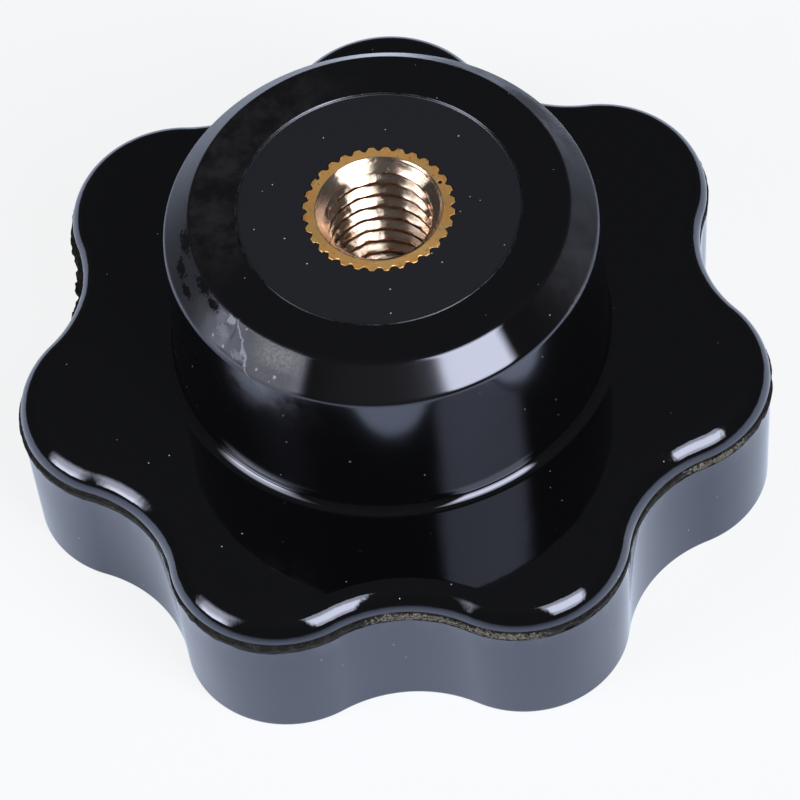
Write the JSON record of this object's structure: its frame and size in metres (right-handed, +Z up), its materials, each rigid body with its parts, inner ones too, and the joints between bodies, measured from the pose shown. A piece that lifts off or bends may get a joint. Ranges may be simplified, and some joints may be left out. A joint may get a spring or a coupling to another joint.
{
  "type": "star knob",
  "caption": "Lobed black moulded star knob with a chamfered hub and a blind threaded metal bush moulded into it.",
  "frame": {"origin": "where the knob's axis meets the flat crown face that it rests on", "axes": "+Z up along the knob's axis, out of the hub and out of the threaded hole's mouth; +Y towards one lobe"},
  "size_m": [0.0494, 0.0486, 0.0252],
  "materials": {
    "moulded_resin": "glossy black thermoset resin, with a matt turned seat on the hub and a rough ground parting land",
    "bush_metal": "turned and tapped yellow metal, finely scored on its end face"
  },
  "bodies": {
    "root": {"knob_body": "moulded_resin", "threaded_insert": "bush_metal"}
  },
  "joints": []
}
